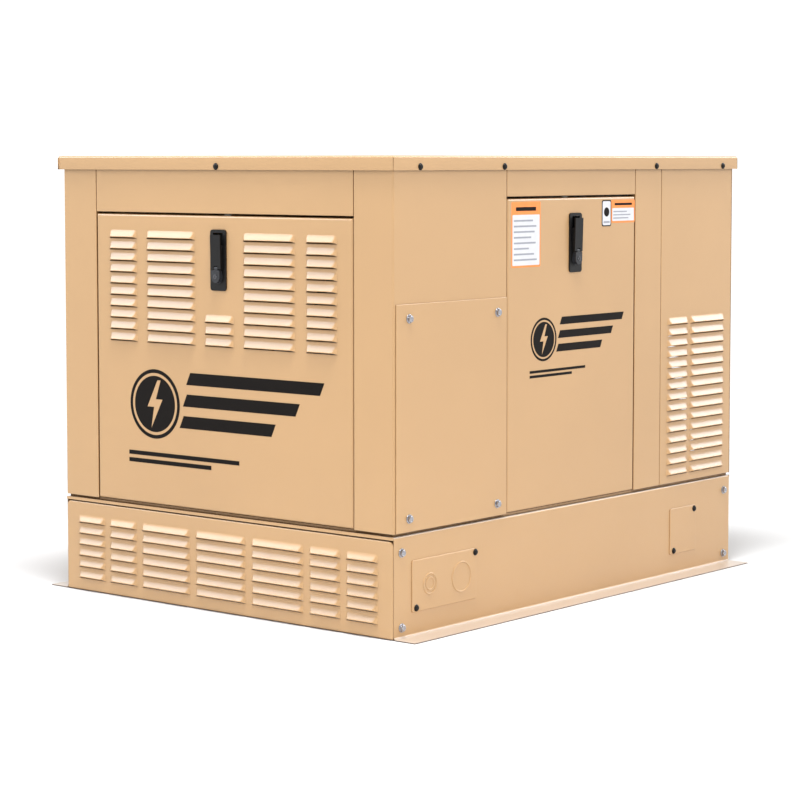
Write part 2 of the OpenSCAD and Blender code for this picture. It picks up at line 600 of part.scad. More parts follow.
module oil_dipstick() {
  color([0.90,0.72,0.10]) genset() {
    translate([dip_x,dip_y,352]) cylinder(r=2.5,h=120,$fn=24);
    translate([dip_x,dip_y,469]) cylinder(r=8.95,h=21.5,$fn=48);
    translate([dip_x,dip_y,490]) cylinder(r=17,h=9,$fn=48);
    translate([dip_x-3,dip_y,510]) rotate([0,90,0]) difference() { cylinder(r=15,h=6,$fn=48); translate([0,0,-1]) cylinder(r=9,h=8,$fn=48); }
  }
}
module starter_motor() {
  color([0.15,0.15,0.16]) genset() {
    translate([sx+186,66,344]) rotate([-90,0,0]) cylinder(r=36,h=140,$fn=64);
    translate([sx+186,74,388]) rotate([-90,0,0]) cylinder(r=20,h=80,$fn=48);
    translate([sx+140,90,324]) cube([30,60,40]);
    translate([sx+186,205.9,344]) rotate([-90,0,0]) cylinder(r=24,h=16,$fn=48);
  }
}
module gas_regulator() {
  color([0.66,0.67,0.69]) difference() {
    union() {
      translate([330,430,300]) rotate([0,90,0]) cylinder(r=60,h=26,$fn=64);
      translate([355.9,430,300]) rotate([0,90,0]) cylinder(r=48,h=14,$fn=64);
      translate([300,405,270]) cube([30.1,50,60]);
      translate([315,430,140]) cylinder(r=17,h=131,$fn=48);
      translate([315,430,deck_z]) cylinder(r=26,h=6,$fn=6);
    }
    translate([315,430,139]) cylinder(r=12.2,h=25,$fn=48);      // gas pipe inlet, from below
  }
}
module fuel_hose() {
  color([0.10,0.10,0.10]) sweep_tube([[315,430,330],[315,430,350],[318,428,440],[312,410,560],[290,372,668],[260,332,700],[230,285,712],[170,180,722],[105,80,708],
    [50,mix_y+gy,mix_z+110],[sx+62,mix_y+gy,mix_z+112],[sx+49.9,mix_y+gy,mix_z+112]], 9, 4, 12);
}
module battery() {
  color([0.12,0.12,0.13]) {
    translate([-410,-560,deck_z]) cube([176,240,178]);
    translate([-413,-563,deck_z+177.9]) cube([182,246,16]);
    for (y=[-530,-350]) translate([-375,y,deck_z+193.8]) cylinder(r=9,h=16,$fn=32);
    translate([-395,-566,deck_z+130]) cube([146,3.1,20]);
  }
}
module control_box() {
  color([0.30,0.31,0.33]) difference() {
    union() {
      translate([270,-236,570]) cube([148,230,272]);
      translate([320,-255,600]) cube([123,4,210]);           // bracket to the housing
      translate([320,-252,600]) cube([90,17,210]);
      translate([417,-212,700]) cube([5,116,112]);           // controller bezel
    }
    translate([421,-204,740]) cube([3,100,64]);              // display window
    translate([380,-141,624]) cube([60,42,34]);              // switch pocket
    translate([380,-71,590]) cube([60,42,74]);               // breaker pocket
    for (z=[720,780]) translate([416,-50,z]) rotate([0,90,0]) cylinder(r=9,h=6,$fn=32);
  }
}
module control_switch() {   // rocker on a pin along Y
  color([0.70,0.08,0.06]) translate([406,-139,641]) {
    rotate([-90,0,0]) linear_extrude(38) polygon([[-9,-7],[6,-13],[11,-13],[7,0],[11,13],[6,13],[-9,7]]);
  }
}
module breaker_lever() {    // toggle on a pin along Y
  color([0.08,0.08,0.09]) translate([398,-69,627]) rotate([-90,0,0]) {
    cylinder(r=11,h=38,$fn=48);
    translate([0,0,7]) linear_extrude(24) polygon([[6,4],[6,-6],[27,-20],[31,-14],[8,8]]);
  }
}

base_rail_right();
base_rail_left();
base_front_panel();
base_rear_panel();
base_cross_members();
base_deck();
conduit_plate();
fuel_plate();
front_corner_right();
front_corner_left();
front_header();
right_header();
right_post();
right_rear_panel();
left_side_panel();
rear_panel();
side_cover_plate();
roof();
bulkhead();
black_screws();
hex_bolts();
front_door_panel();
front_door_foam();
front_latch_housing();
front_latch_hub();
front_latch_arm();
front_latch_lever();
front_lock_plug();
side_door_panel();
side_door_foam();
side_latch_housing();
side_latch_hub();
side_latch_arm();
side_latch_lever();
side_lock_plug();
skid_rails();
vibration_mounts();
alternator_housing();
alternator_end_bell();
rotor_shaft();
flywheel_fan();
engine_crankcase();
engine_cylinders();
valve_covers();
blower_housing();
intake_mixer();
throttle_lever();
air_cleaner();
muffler();
exhaust_pipes();
exhaust_outlet();
oil_filter();
oil_dipstick();
starter_motor();
gas_regulator();
fuel_hose();
battery();
control_box();
control_switch();
breaker_lever();
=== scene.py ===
import bpy, bmesh, math, json
from mathutils import Vector, Matrix


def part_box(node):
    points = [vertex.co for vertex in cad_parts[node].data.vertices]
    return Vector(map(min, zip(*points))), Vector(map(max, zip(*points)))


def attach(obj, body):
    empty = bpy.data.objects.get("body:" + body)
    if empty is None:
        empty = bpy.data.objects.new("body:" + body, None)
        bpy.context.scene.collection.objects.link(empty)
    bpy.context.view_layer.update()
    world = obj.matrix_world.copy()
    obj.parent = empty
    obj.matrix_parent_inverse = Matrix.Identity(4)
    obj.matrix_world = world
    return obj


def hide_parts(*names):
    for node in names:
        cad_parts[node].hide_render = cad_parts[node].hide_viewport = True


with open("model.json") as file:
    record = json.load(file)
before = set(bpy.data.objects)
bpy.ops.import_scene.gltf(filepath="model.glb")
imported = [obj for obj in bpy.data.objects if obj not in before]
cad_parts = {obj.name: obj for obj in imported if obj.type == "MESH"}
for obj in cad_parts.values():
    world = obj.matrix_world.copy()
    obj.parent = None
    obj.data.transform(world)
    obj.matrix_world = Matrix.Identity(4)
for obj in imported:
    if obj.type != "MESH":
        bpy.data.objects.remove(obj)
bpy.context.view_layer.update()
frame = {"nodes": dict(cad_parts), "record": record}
NODES = frame["nodes"]
SC = bpy.context.scene
SLOT = {s["node"]: s.get("material_slot", s["node"]) for s in frame["record"]["subparts"]}
BODY = {n: b for b, ns in frame["record"]["behaviour"]["bodies"].items() for n in ns}
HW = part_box("right_post")[1].x            # outer face of the side walls
HL = -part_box("front_header")[0].y         # outer face of the end walls

# ------------------------------------------------------------------ camera
yaw, pitch = 0.69055, 0.07243
cam_data = bpy.data.cameras.new("camera")
cam = bpy.data.objects.new("camera", cam_data)
SC.collection.objects.link(cam)
cam_data.sensor_width = 36.0
cam_data.lens = 2409.06 / 800 * 36.0
cam_data.shift_y = -0.08
cam.location = (3.45145, -4.20905, 0.93875)
look = Vector((-math.sin(yaw) * math.cos(pitch), math.cos(yaw) * math.cos(pitch), -math.sin(pitch)))
cam.rotation_mode = "QUATERNION"
cam.rotation_quaternion = look.to_track_quat("-Z", "Y")
cam_data.clip_end = 100
SC.camera = cam
SC.view_settings.view_transform = "Standard"
SC.view_settings.look = "None"

# ------------------------------------------------------------------ materials
class Mat:
    def __init__(self, name):
        self.m = bpy.data.materials.new(name)
        self.m.use_nodes = True
        self.t = self.m.node_tree
        self.t.nodes.clear()
        self.out = self.t.nodes.new("ShaderNodeOutputMaterial")
        self.b = self.t.nodes.new("ShaderNodeBsdfPrincipled")
        self.t.links.new(self.b.outputs[0], self.out.inputs[0])
        self.co = self.t.nodes.new("ShaderNodeTexCoord").outputs["Object"]

    def node(self, kind, **kw):
        n = self.t.nodes.new(kind)
        for k, v in kw.items():
            setattr(n, k, v)
        return n

    def put(self, n, **kw):
        for k, v in kw.items():
            s = n.inputs[k.replace("_", " ")]
            if isinstance(v, bpy.types.NodeSocket):
                self.t.links.new(v, s)
            else:
                s.default_value = v
        return n

    def noise(self, scale, detail=3.0, rough=0.5, stretch=None):
        v = self.co
        if stretch:
            mp = self.node("ShaderNodeMapping")
            mp.inputs["Scale"].default_value = stretch
            self.t.links.new(self.co, mp.inputs["Vector"])
            v = mp.outputs[0]
        n = self.node("ShaderNodeTexNoise")
        self.put(n, Vector=v, Scale=scale, Detail=detail, Roughness=rough)
        return n.outputs["Fac"]

    def cells(self, scale, feature="F1"):
        n = self.node("ShaderNodeTexVoronoi", feature=feature)
        self.put(n, Vector=self.co, Scale=scale)
        return n.outputs["Distance"] if feature != "F1" else n.outputs["Distance"], n

    def ramp(self, fac, a, b, lo=0.3, hi=0.7):
        n = self.node("ShaderNodeMapRange")
        self.put(n, Value=fac, From_Min=lo, From_Max=hi, To_Min=a, To_Max=b)
        return n.outputs[0]

    def mix(self, fac, a, b):
        n = self.node("ShaderNodeMix", data_type="RGBA")
        ins = n.inputs
        for s, v in ((ins[0], fac), (ins[6], a), (ins[7], b)):
            if isinstance(v, bpy.types.NodeSocket):
                self.t.links.new(v, s)
            else:
                s.default_value = v
        return n.outputs[2]

    def bump(self, height, strength, distance, normal=None):
        n = self.node("ShaderNodeBump")
        self.put(n, Height=height, Strength=strength, Distance=distance)
        if normal is not None:
            self.t.links.new(normal, n.inputs["Normal"])
        return n.outputs[0]

    def set(self, **kw):
        for k, v in kw.items():
            s = self.b.inputs[k.replace("_", " ")]
            if isinstance(v, bpy.types.NodeSocket):
                self.t.links.new(v, s)
            else:
                s.default_value = v
        return self


def c4(c, k=1.0):
    return (c[0] * k, c[1] * k, c[2] * k, 1.0)


def plain(name, col, rough, metal=0.0, var=0.12, vscale=14.0, bump=0.15, bscale=500.0, bdist=0.0003, spec=0.5, rvar=0.08):
    m = Mat(name)
    n1 = m.noise(vscale, 4.0, 0.6)
    n2 = m.noise(bscale, 3.0, 0.55)
    m.set(Base_Color=m.mix(m.ramp(n1, 0, 1, 0.32, 0.68), c4(col, 1 - var), c4(col, 1 + var)),
          Roughness=m.ramp(n1, rough - rvar, rough + rvar, 0.3, 0.7), Metallic=metal, Specular_IOR_Level=spec,
          Normal=m.bump(n2, bump, bdist))
    return m


MAT = {}
# tan powder coat: broad, faint tone changes, orange peel and random scuffed, worn patches; painted shade darkens the
# colour and fades the gloss in creases and seams found by ambient occlusion
TAN = (0.508, 0.304, 0.139)


def tan(name, reach, lo, hi, dark, painted_top_highlight=False):
    m = Mat(name)
    broad, peel, fine = m.noise(2.2, 2.0, 0.5), m.noise(260.0, 2.0, 0.5), m.noise(1300.0, 2.0, 0.5)
    scuff = m.noise(38.0, 6.0, 0.65)
    base = m.mix(m.ramp(broad, 0, 1, 0.35, 0.65), c4(TAN, 0.975), c4(TAN, 1.02))
    base = m.mix(m.ramp(scuff, 0.0, 0.10, 0.60, 0.78), base, c4(TAN, 0.90))
    # painted highlight: faces turned upward are painted a pale cream, as if lit from above
    if painted_top_highlight:
        up = m.node("ShaderNodeSeparateXYZ")
        m.t.links.new(m.node("ShaderNodeNewGeometry").outputs["Normal"], up.inputs[0])
        base = m.mix(m.ramp(up.outputs["Z"], 0.0, 0.92, 0.35, 0.95), base, m.mix(m.ramp(scuff, 0, 1), (0.52, 0.43, 0.35, 1), (0.56, 0.47, 0.39, 1)))
    # painted shade: where ambient occlusion finds a crease or seam within reach, the colour goes to the dark shade
    # colour and the specular and coat fade out
    ao = m.node("ShaderNodeAmbientOcclusion", samples=6)
    ao.inputs["Distance"].default_value = reach
    base = m.mix(m.ramp(ao.outputs["AO"], 1.0, 0.0, lo, hi), base, dark)
    m.set(Base_Color=base, Roughness=m.ramp(scuff, 0.30, 0.38, 0.3, 0.7), Specular_IOR_Level=m.ramp(ao.outputs["AO"], 0.0, 0.5, lo, hi),
          Coat_Weight=m.ramp(ao.outputs["AO"], 0.0, 0.4, lo, hi), Coat_Roughness=0.16,
          Normal=m.bump(fine, 0.10, 0.0001, m.bump(peel, 0.16, 0.0004)))
    return m


# the last argument of tan() is the painted shade colour for creases and seams
MAT["tan_paint"] = tan("tan_paint", 0.014, 0.14, 0.68, (0.075, 0.022, 0.004, 1))
# tan_rail also carries the painted pale highlight on its upward faces
MAT["tan_rail"] = tan("tan_rail", 0.010, 0.12, 0.62, (0.085, 0.030, 0.008, 1), painted_top_highlight=True)
# tan_deck: painted shade reaching 30 mm, which darkens the recess under the doors above the base deck
MAT["tan_deck"] = tan("tan_deck", 0.030, 0.46, 0.88, (0.045, 0.015, 0.003, 1))
MAT["black_fastener"] = plain("black_fastener", (0.006, 0.005, 0.0045), 0.36, var=0.25, vscale=160, bump=0.1, bscale=900, spec=0.22)
MAT["zinc_fastener"] = plain("zinc_fastener", (0.40, 0.40, 0.43), 0.30, 1.0, var=0.10, vscale=220, bump=0.25, bscale=900, bdist=0.0002)
m = Mat("acoustic_foam")
d, vn = m.cells(260.0)
n = m.noise(60.0, 4.0)
m.set(Base_Color=m.mix(m.ramp(d, 0, 1, 0.0, 0.7), (0.012, 0.012, 0.013, 1), (0.062, 0.061, 0.064, 1)), Roughness=0.95,
      Specular_IOR_Level=0.2, Normal=m.bump(n, 0.5, 0.002, m.bump(d, 0.8, 0.0015)))
MAT["acoustic_foam"] = m
MAT["latch_plastic"] = plain("latch_plastic", (0.0050, 0.0046, 0.0046), 0.40, var=0.15, vscale=90, bump=0.25, bscale=1600, bdist=0.00015, spec=0.28)
MAT["latch_hub"] = plain("latch_hub", (0.022, 0.023, 0.027), 0.34, 0.0, spec=0.4, var=0.15, vscale=90, bump=0.2, bscale=1100, bdist=0.0002)
MAT["zinc_steel"] = plain("zinc_steel", (0.58, 0.57, 0.52), 0.34, 1.0, var=0.12, vscale=60, bump=0.15, bscale=700)
MAT["lock_metal"] = plain("lock_metal", (0.13, 0.13, 0.14), 0.26, 1.0, var=0.08, vscale=300, bump=0.1, bscale=1200)
m = Mat("galvanised_sheet")
d, vn = m.cells(85.0)
col = m.node("ShaderNodeSeparateColor"); m.t.links.new(vn.outputs["Color"], col.inputs[0])
m.set(Base_Color=m.mix(col.outputs[0], (0.40, 0.41, 0.43, 1), (0.62, 0.63, 0.65, 1)), Metallic=0.9,
      Roughness=m.ramp(col.outputs[1], 0.36, 0.52, 0, 1), Normal=m.bump(m.noise(90, 3), 0.08, 0.0006))
MAT["galvanised_sheet"] = m
MAT["black_frame"] = plain("black_frame", (0.022, 0.023, 0.025), 0.36, var=0.25, vscale=30, bump=0.2, bscale=380, bdist=0.0005)
m = Mat("rubber")
m.set(Base_Color=m.mix(m.noise(40, 5), (0.010, 0.010, 0.010, 1), (0.030, 0.029, 0.028, 1)), Roughness=m.ramp(m.noise(70, 4), 0.62, 0.80),
      Specular_IOR_Level=0.35, Normal=m.bump(m.noise(700, 4), 0.3, 0.0003))
MAT["rubber"] = m
m = Mat("cast_alloy")
grit, big = m.noise(420, 5, 0.65), m.noise(30, 4)
m.set(Base_Color=m.mix(m.ramp(big, 0, 1), (0.36, 0.37, 0.385, 1), (0.52, 0.53, 0.545, 1)), Metallic=0.85, Roughness=m.ramp(grit, 0.42, 0.60),
      Normal=m.bump(grit, 0.45, 0.0006))
MAT["cast_alloy"] = m
m = Mat("machined_steel")
turn = m.noise(60, 3, 0.5, (1.0, 40.0, 1.0))
m.set(Base_Color=m.mix(m.ramp(turn, 0, 1), (0.40, 0.40, 0.41, 1), (0.56, 0.56, 0.57, 1)), Metallic=1.0, Roughness=m.ramp(turn, 0.22, 0.38),
      Normal=m.bump(turn, 0.15, 0.0002))
MAT["machined_steel"] = m
m = Mat("dark_casting")
grit, big = m.noise(300, 5, 0.65), m.noise(22, 5)
m.set(Base_Color=m.mix(m.ramp(big, 0, 1), (0.085, 0.087, 0.092, 1), (0.150, 0.152, 0.158, 1)), Metallic=0.35, Roughness=m.ramp(grit, 0.44, 0.62),
      Normal=m.bump(grit, 0.5, 0.0007))
MAT["dark_casting"] = m
MAT["black_moulding"] = plain("black_moulding", (0.022, 0.022, 0.024), 0.46, var=0.15, vscale=25, bump=0.3, bscale=1100, bdist=0.0002)
m = Mat("exhaust_steel")
heat, grit = m.noise(9, 5, 0.6), m.noise(260, 5, 0.6)
rust = m.mix(m.ramp(heat, 0, 1, 0.38, 0.66), (0.36, 0.31, 0.26, 1), (0.19, 0.115, 0.070, 1))
m.set(Base_Color=rust, Metallic=m.ramp(heat, 0.95, 0.45, 0.38, 0.66), Roughness=m.ramp(heat, 0.38, 0.70, 0.38, 0.66), Normal=m.bump(grit, 0.4, 0.0005))
MAT["exhaust_steel"] = m
MAT["filter_white"] = plain("filter_white", (0.72, 0.71, 0.68), 0.26, var=0.05, vscale=40, bump=0.08, bscale=300)
MAT["yellow_plastic"] = plain("yellow_plastic", (0.80, 0.50, 0.02), 0.30, var=0.08, vscale=80, bump=0.1, bscale=700)
MAT["battery_case"] = plain("battery_case", (0.020, 0.020, 0.023), 0.42, var=0.2, vscale=26, bump=0.3, bscale=900, bdist=0.0002)
MAT["control_grey"] = plain("control_grey", (0.19, 0.20, 0.22), 0.48, var=0.08, vscale=20, bump=0.5, bscale=900, bdist=0.0003)
MAT["red_plastic"] = plain("red_plastic", (0.52, 0.018, 0.012), 0.28, var=0.08, vscale=80, bump=0.08, bscale=700)
MAT["print_black"] = plain("print_black", (0.0065, 0.0045, 0.0035), 0.50, var=0.12, vscale=30, bump=0.08, bscale=900, bdist=0.0001, spec=0.10)
MAT["print_orange"] = plain("print_orange", (0.86, 0.27, 0.07), 0.40, spec=0.25, var=0.05, vscale=60, bump=0.05, bscale=900, bdist=0.0001)
MAT["print_white"] = plain("print_white", (0.66, 0.66, 0.69), 0.36, var=0.03, vscale=60, bump=0.05, bscale=900, bdist=0.0001)
MAT["print_grey"] = plain("print_grey", (0.30, 0.31, 0.35), 0.40, var=0.05, vscale=60, bump=0.05, bscale=900, bdist=0.0001)
MAT["brass"] = plain("brass", (0.60, 0.42, 0.16), 0.28, 1.0, var=0.1, vscale=200, bump=0.1, bscale=900)
MAT["screen_green"] = plain("screen_green", (0.030, 0.055, 0.040), 0.10, var=0.08, vscale=90, bump=0.0, bscale=900)
MAT["lead_grey"] = plain("lead_grey", (0.34, 0.34, 0.36), 0.50, 0.9, var=0.12, vscale=120, bump=0.3, bscale=700)

# ------------------------------------------------------------------ mesh tools, all lengths below in millimetres
FACE = {
    "front": lambda u, v, w: (u, -HL * 1000 - w, v),
    "right": lambda u, v, w: (HW * 1000 + w, u, v),
    "rear": lambda u, v, w: (-u, HL * 1000 + w, v),
    "left": lambda u, v, w: (-HW * 1000 - w, -u, v),
    "top": lambda u, v, w: (u, v, w),
}


def piece(name, verts, faces, body, mat, replaces=(), sharp=35.0, solid=None, bevel=None, weighted=True, merge=True, mats=None, fmat=None):
    me = bpy.data.meshes.new(name)
    me.from_pydata([(x / 1000, y / 1000, z / 1000) for x, y, z in verts], [], faces)
    bm = bmesh.new()
    bm.from_mesh(me)
    if fmat is not None:
        for f, k in zip(bm.faces, fmat):
            f.material_index = k
    if merge:
        bmesh.ops.remove_doubles(bm, verts=bm.verts, dist=2e-6)
        bmesh.ops.dissolve_degenerate(bm, edges=bm.edges, dist=2e-6)
    loose = [v for v in bm.verts if not v.link_faces]
    if loose:
        bmesh.ops.delete(bm, geom=loose, context="VERTS")
    if solid is None:
        bmesh.ops.recalc_face_normals(bm, faces=bm.faces)
    for f in bm.faces:
        f.smooth = True
    bm.to_mesh(me)
    bm.free()
    me.set_sharp_from_angle(angle=math.radians(sharp))
    ob = bpy.data.objects.new(name, me)
    SC.collection.objects.link(ob)
    for k in (mats or [mat]):
        me.materials.append(MAT[k].m)
    if solid:
        s = ob.modifiers.new("thick", "SOLIDIFY")
        s.thickness = solid / 1000
        s.offset = -1.0
        s.use_even_offset = False
    if bevel:
        b = ob.modifiers.new("edge", "BEVEL")
        b.width, b.segments, b.limit_method, b.angle_limit = bevel / 1000, 2, "ANGLE", math.radians(38)
        b.harden_normals = False
    if weighted:
        wn = ob.modifiers.new("normals", "WEIGHTED_NORMAL")
        wn.keep_sharp = True
    if replaces:
        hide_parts(*replaces)
    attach(ob, body)
    return ob


LV_H, LV_D, LV_E, LV_RISE = 18.6, 8.4, 11.5, 3.9     # hood height, depth, end length, and how far the lip lifts as it is pressed out


def edge_lines(a, b, r, depth, breaks, flat_ret=True):
    """(position, drop) lines across a folded sheet, from return to return."""
    n = 4
    arc = [(r - r * math.sin(math.radians(90 - 90 * i / n)), r - r * math.cos(math.radians(90 - 90 * i / n))) for i in range(n + 1)]
    left = ([(a, depth)] if depth > r + 0.01 else []) + [(a + p, d) for p, d in arc]
    right = [(b - p, d) for p, d in reversed(arc)] + ([(b, depth)] if depth > r + 0.01 else [])
    mid = sorted(set(round(x, 3) for x in breaks if a + r + 0.2 < x < b - r - 0.2))
    out = []
    for x in mid:
        if not out or x - out[-1] > 0.35:
            out.append(x)
    return left + [(x, 0.0) for x in out] + right


def hood(u, v, lv):
    ua, ub, vb = lv
    t = (vb + LV_H - v) / LV_H
    if t <= 0 or t > 1.0001:
        return 0.0
    y, rc = t * LV_H, 9.0
    inset = 2.5 * (1 - t) + (rc - math.sqrt(rc * rc - (rc - y) ** 2) if y < rc else 0.0)
    e = min(u - ua - inset, ub - inset - u) / LV_E
    if e <= 0:
        return 0.0
    a = t ** 1.25
    s = math.sin(min(1.0, e) * math.pi / 2)
    p = 5.0
    return LV_D * (a ** -p + s ** -p) ** (-1 / p)


def folded_sheet(name, face, u0, u1, v0, v1, w0, louvres, body, mat, replaces, depth=22.0, r=3.0, corner=0.0, thick=1.5, skip=None, grooves=(), seam=0.0, breaks_u=(), breaks_v=(), sharp=40.0):
    bu, bv = list(breaks_u), list(breaks_v)
    for ua, ub, vb in louvres:
        for k in (0, 1.5, 3.5, 6, 8.5, 11, 13.5, 16, 19):
            bu += [ua + k, ub - k]
        bv += [vb + LV_H * k for k in (0, 0.11, 0.25, 0.4, 0.55, 0.7, 0.82, 0.91, 0.97, 1.0)]
    if corner:
        for k in (0.3, 0.6, 0.85, 1.0):
            bu += [u0 + corner * k, u1 - corner * k]
            bv += [v0 + corner * k, v1 - corner * k]
    U, V = edge_lines(u0, u1, r, depth, bu), edge_lines(v0, v1, r, depth, bv)
    lips = {}
    for lv in louvres:
        lips.setdefault(round(lv[2], 3), []).append(lv)
    f = FACE[face]
    ids, verts, faces = {}, [], []
    vlip = {}
    for j, (v, dv) in enumerate(V):
        if dv == 0:
            for key, ls in lips.items():
                if abs(v - key) < 0.35:
                    vlip[j] = (key, ls)

    def vert(i, j, up, tag=0):
        key = (i, j, up, tag)
        if key in ids:
            return ids[key]
        (u, du), (v, dv) = U[i], V[j]
        w = w0 - max(du, dv)
        if du == 0 and dv == 0:
            for lv in louvres:
                if lv[0] < u < lv[1]:
                    h = 0.0
                    if up and abs(v - lv[2]) < 0.35:
                        h = hood(u, lv[2], lv)
                    elif lv[2] + 0.35 < v < lv[2] + LV_H:
                        h = hood(u, v, lv)
                    if h:
                        w += h
                        v += LV_RISE * (h / LV_D) * (lv[2] + LV_H - v) / LV_H
                        break
        if corner:
            for su, ue in ((1, u1), (-1, u0)):
                for sv, ve in ((1, v1), (-1, v0)):
                    if corner_mask(sv) and (u - (ue - su * corner)) * su > 0 and (v - (ve - sv * corner)) * sv > 0:
                        a, b = (u - (ue - su * corner)) * su, (v - (ve - sv * corner)) * sv
                        k = max(a, b) / math.hypot(a, b)
                        u, v = ue - su * corner + su * a * k, ve - sv * corner + sv * b * k
        if tag:
            u += -seam if i > len(U) / 2 else seam
        ids[key] = len(verts)
        verts.append(f(u, v, w))
        return ids[key]

    corner_mask = (lambda sv: sv > 0) if corner and skip == "round_top" else (lambda sv: True)
    nr = 1 if depth > r + 0.01 else 0
    for i in range(len(U) - 1):
        iret = nr and (i == 0 or i == len(U) - 2)
        for j in range(len(V) - 1):
            jret = nr and (j == 0 or j == len(V) - 2)
            if iret and jret:
                continue
            um, vm = (U[i][0] + U[i + 1][0]) / 2, (V[j][0] + V[j + 1][0]) / 2
            if callable(skip) and skip(um, vm):
                continue
            upj = j in vlip and any(lv[0] < um < lv[1] for lv in vlip[j][1])

            def q(a, b, up):
                if up:
                    h = any(lv[0] < U[a][0] < lv[1] for lv in vlip[b][1])
                    up = h
                tag = 1 if (seam and jret and a in (1, len(U) - 2) and U[a][1] > 0) else 0
                return vert(a, b, up, tag)

            faces.append([q(i, j, upj), q(i + 1, j, upj), q(i + 1, j + 1, False), q(i, j + 1, False)])
    return piece(name, verts, faces, body, mat, replaces, sharp=sharp, solid=thick)


def fillet(pts, radii, n=5):
    out = [pts[0]]
    for k in range(1, len(pts) - 1):
        p, a, b = Vector(pts[k]), Vector(pts[k - 1]), Vector(pts[k + 1])
        r = radii[k - 1]
        da, db = (a - p).normalized(), (b - p).normalized()
        half = da.angle(db) / 2
        t = r / math.tan(half)
        c = p + (da + db).normalized() * (r / math.sin(half))
        s, e = p + da * t - c, p + db * t - c
        ang = s.angle(e)
        for i in range(n + 1):
            q = i / n
            out.append(tuple(c + (s * math.sin((1 - q) * ang) + e * math.sin(q * ang)) / math.sin(ang)))
    out.append(pts[-1])
    return out


def strip(name, pts, radii, plane, a0, a1, body, mat, replaces, thick=2.0, flip=False, cuts=()):
    """A folded strip: the outline pts (2-D), filleted, run from a0 to a1 along the third axis. The outline is the outer face."""
    prof = fillet(pts, radii)
    levels = [a0, *cuts, a1]
    verts, faces = [], []
    for a in levels:
        for x, y in prof:
            verts.append((x, y, a) if plane == "xy" else (x, a, y))
    n = len(prof)
    for k in range(len(levels) - 1):
        for i in range(n - 1):
            q = [k * n + i, k * n + i + 1, (k + 1) * n + i + 1, (k + 1) * n + i]
            faces.append(q[::-1] if flip else q)
    return piece(name, verts, faces, body, mat, replaces, solid=thick, sharp=40)


def lathe(profile, n=32, close=True):
    """Rings of (radius, height); returns vertices round +Z and faces."""
    verts, faces = [], []
    for r, z in profile:
        for i in range(n):
            a = 2 * math.pi * i / n
            verts.append((r * math.cos(a), r * math.sin(a), z))
    for k in range(len(profile) - 1):
        for i in range(n):
            j = (i + 1) % n
            faces.append([k * n + i, k * n + j, (k + 1) * n + j, (k + 1) * n + i])
    if close:
        faces.append(list(range(n))[::-1])
        faces.append([(len(profile) - 1) * n + i for i in range(n)])
    return verts, faces


def hex_head(n=48, ap=6.35, h=5.0, z0=1.5, turn=0.0):
    """Washer-faced hex head with a chamfered crown."""
    verts, faces, rings = [], [], []

    def ring(fn):
        rings.append([len(verts) + i for i in range(n)])
        for i in range(n):
            a = 2 * math.pi * i / n
            r, z = fn(a)
            verts.append((r * math.cos(a + turn), r * math.sin(a + turn), z))

    hexr = lambda a: ap / math.cos((a % (math.pi / 3)) - math.pi / 6)
    ring(lambda a: (9.0, 0.0))
    ring(lambda a: (9.2, 0.5))
    ring(lambda a: (9.0, 1.1))
    ring(lambda a: (8.2, z0))
    ring(lambda a: (hexr(a) + 0.25, z0 + 0.1))
    ring(lambda a: (hexr(a), z0 + 0.4))
    ring(lambda a: (hexr(a), z0 + h - 0.45 - (hexr(a) - 6.0) * 0.62))
    ring(lambda a: (5.9, z0 + h - 0.25))
    ring(lambda a: (5.2, z0 + h))
    ring(lambda a: (3.9, z0 + h - 0.02))
    ring(lambda a: (3.4, z0 + h - 0.35))
    ring(lambda a: (1.2, z0 + h - 0.35))
    for a, b in zip(rings, rings[1:]):
        for i in range(n):
            j = (i + 1) % n
            faces.append([a[i], a[j], b[j], b[i]])
    faces.append(rings[0][::-1])
    faces.append(rings[-1])
    return verts, faces


def screw_head(n=32):
    v, f = lathe([(6.9, 0.0), (7.1, 0.35), (6.9, 0.9), (6.1, 1.25), (5.9, 1.3), (5.65, 2.2), (4.9, 3.2), (3.6, 3.9), (2.6, 4.1)], n, True)
    return v, f


def place(parts, name, body, mat, replaces=(), sharp=32.0):
    """parts: (verts, faces, face name, u, v, w)"""
    V, F = [], []
    for verts, faces, face, u, v, w in parts:
        k = len(V)
        fn = FACE[face]
        V += [fn(u + x, v + y, w + z) for x, y, z in verts]
        F += [[k + i for i in q] for q in faces]
    return piece(name, V, F, body, mat, replaces, sharp=sharp, merge=False)


